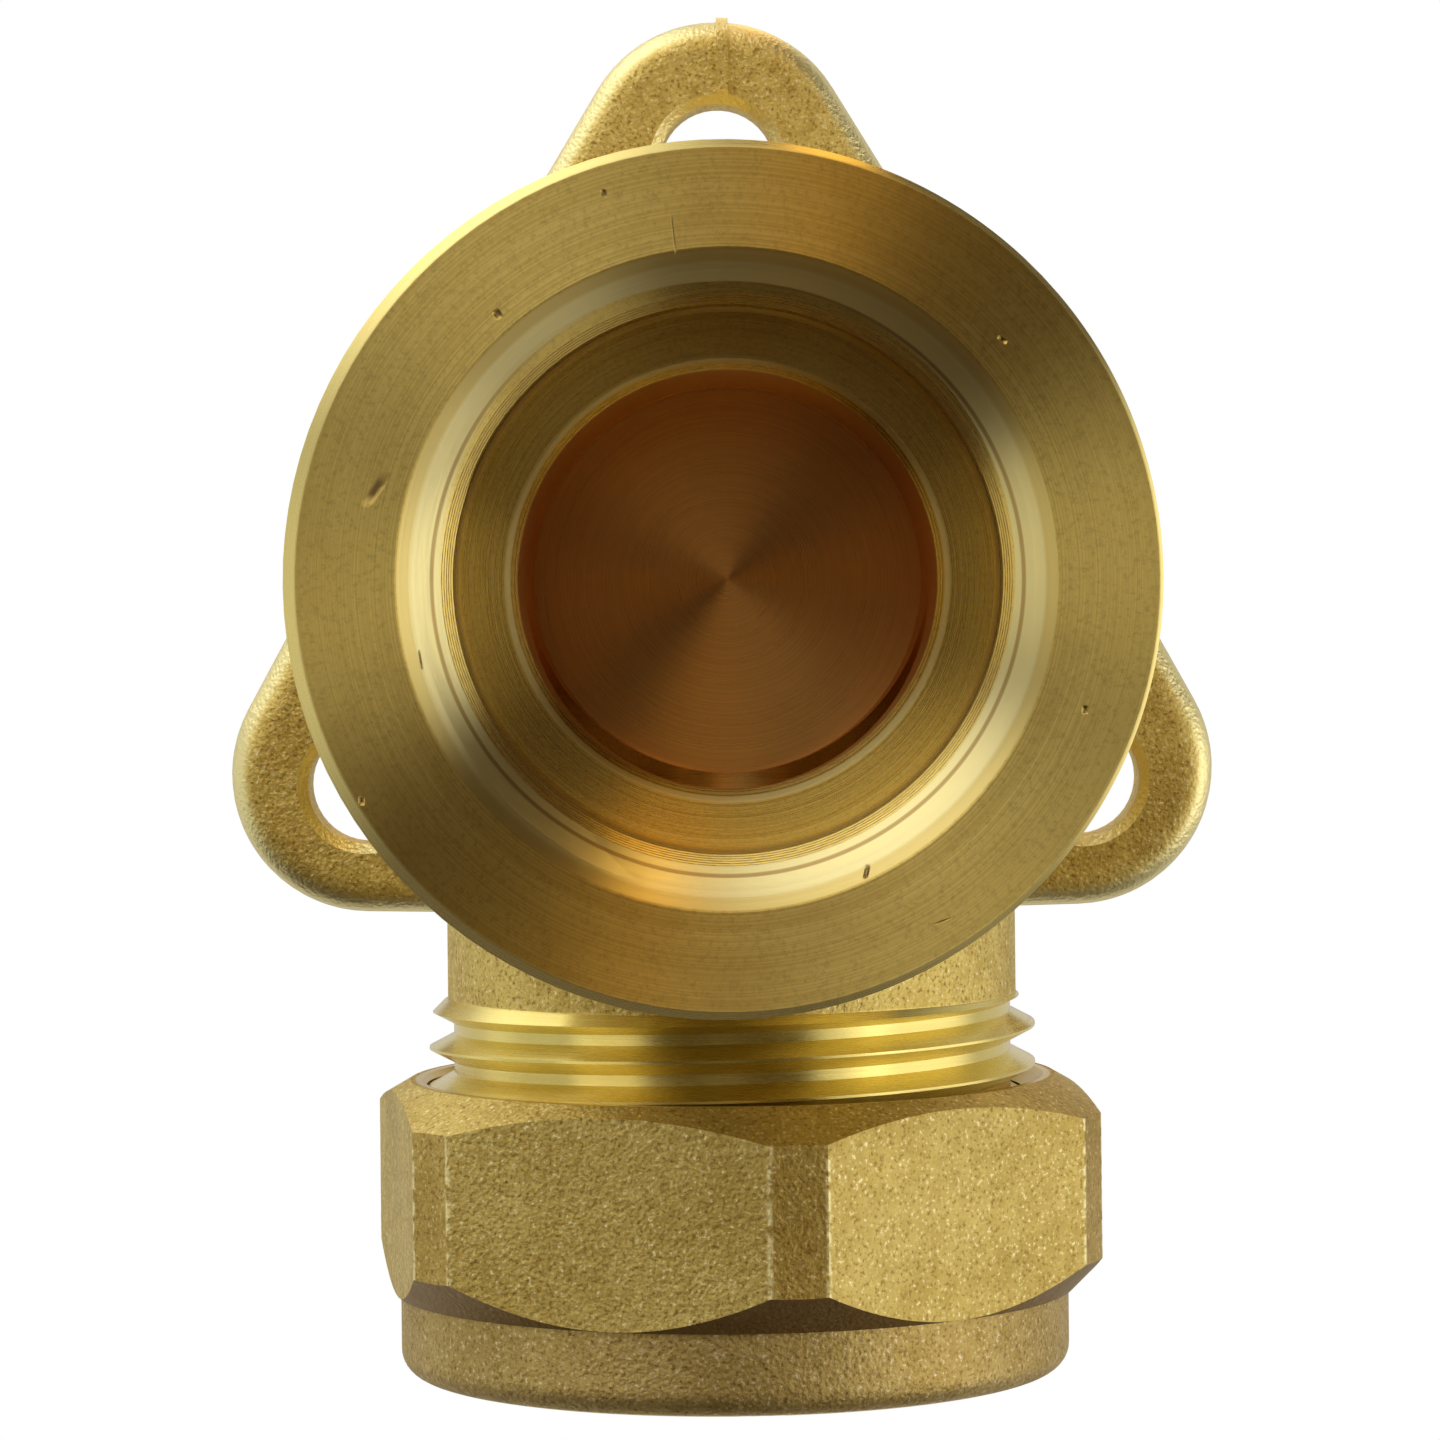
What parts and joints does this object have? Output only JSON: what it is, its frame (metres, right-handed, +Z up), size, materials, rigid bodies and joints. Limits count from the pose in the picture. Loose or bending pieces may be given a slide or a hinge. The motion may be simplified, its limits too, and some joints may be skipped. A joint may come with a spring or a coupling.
{
  "type": "wall plate compression elbow",
  "caption": "Forged brass elbow on a triangular screw plate, with a female threaded port in front and a compression nut pointing down.",
  "frame": {"origin": "where the threaded port's axis meets the wall plane", "axes": "+Z up, +Y into the wall, so the threaded port looks along -Y and the compression end looks along -Z"},
  "size_m": [0.0495, 0.047, 0.0656],
  "materials": {
    "forged_brass": "shot-blasted forging with turned faces and threads",
    "nut_brass": "shot-blasted forging with turned ends",
    "olive_brass": "turned"
  },
  "bodies": {
    "elbow": {"elbow_body": "forged_brass"},
    "loose_olive": {"olive": "olive_brass"},
    "nut": {"compression_nut": "nut_brass"}
  },
  "joints": [
    {"name": "nut_travel", "type": "slide", "parent": "elbow", "child": "loose_olive", "axis": [0, 0, -1], "range_m": [-0.00091, 0.005]},
    {"name": "nut_turn", "type": "hinge", "parent": "loose_olive", "child": "nut", "pos_m": [0, -0.019, -0.03], "axis": [0, 0, -1], "range_deg": [-180, 990]}
  ],
  "couplings": [
    {"joint": "nut_travel", "follows": "nut_turn", "m_per_rad": 0.00028875}
  ]
}
